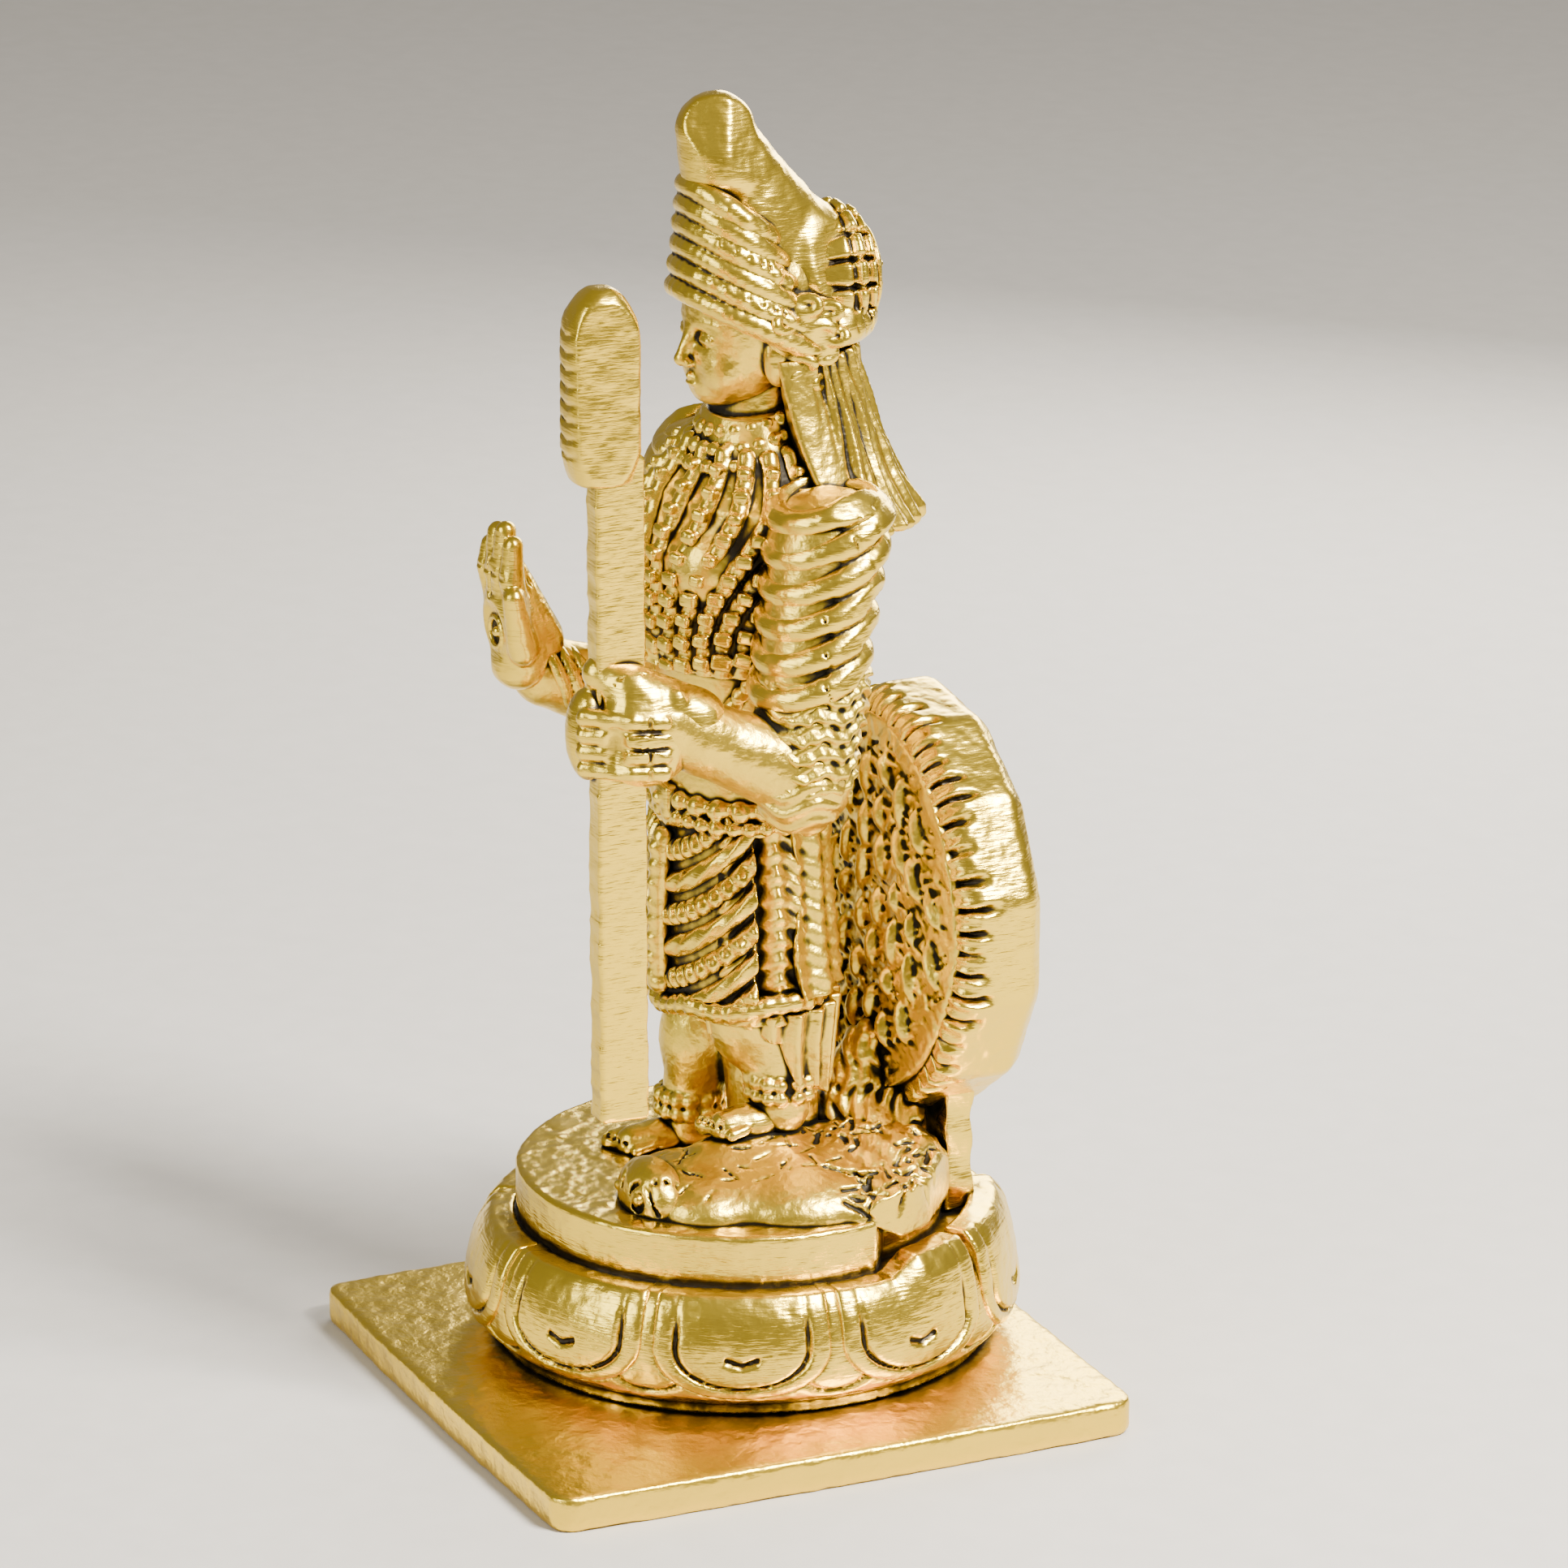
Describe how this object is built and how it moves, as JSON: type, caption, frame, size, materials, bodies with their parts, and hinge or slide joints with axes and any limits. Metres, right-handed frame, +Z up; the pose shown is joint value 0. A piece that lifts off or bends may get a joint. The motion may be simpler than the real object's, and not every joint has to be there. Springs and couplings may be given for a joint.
{
  "type": "standing figure statue",
  "caption": "Small cast-brass standing figure with a tall crown, a spear and a round peacock-tail fan, on a disc, a lotus ring and a square plate.",
  "frame": {"origin": "centre of the underside of the square base plate", "axes": "+Z up; the figure faces -Y and its left side, with the spear, is +X"},
  "size_m": [0.0351, 0.035, 0.0729],
  "materials": {
    "polished_brass": "filed and polished, bright on raised edges",
    "cast_brass": "cast and lightly brushed, dark in the recesses",
    "aged_brass": "rough cast with dark patina in the recesses"
  },
  "bodies": {
    "root": {"base_plate": "cast_brass", "lotus_ring": "polished_brass", "lotus_petals": "polished_brass", "pedestal_disc": "polished_brass", "mound": "cast_brass", "mound_scroll": "cast_brass", "right_foot": "cast_brass", "left_foot": "polished_brass", "right_leg": "aged_brass", "left_leg": "cast_brass", "skirt": "cast_brass", "front_swags": "polished_brass", "side_sash": "cast_brass", "hem_band": "polished_brass", "skirt_fringe": "cast_brass", "back_drape": "aged_brass", "waist_belt": "polished_brass", "torso": "cast_brass", "necklaces": "polished_brass", "sacred_cord": "cast_brass", "neck": "cast_brass", "head": "cast_brass", "ear_ornaments": "polished_brass", "headbands": "polished_brass", "crown": "polished_brass", "head_wheel": "polished_brass", "hair": "cast_brass", "right_upper_arm": "cast_brass", "right_armlets": "polished_brass", "right_forearm": "cast_brass", "right_bangles": "polished_brass", "blessing_hand": "polished_brass", "left_upper_arm": "cast_brass", "left_armlets": "polished_brass", "left_sleeve": "aged_brass", "left_forearm": "cast_brass", "left_hand": "polished_brass", "spear_shaft": "polished_brass", "spear_blade": "polished_brass", "tail_feathers": "aged_brass", "tail_rim": "polished_brass", "tail_root": "aged_brass", "tail_strut": "polished_brass"}
  },
  "joints": []
}
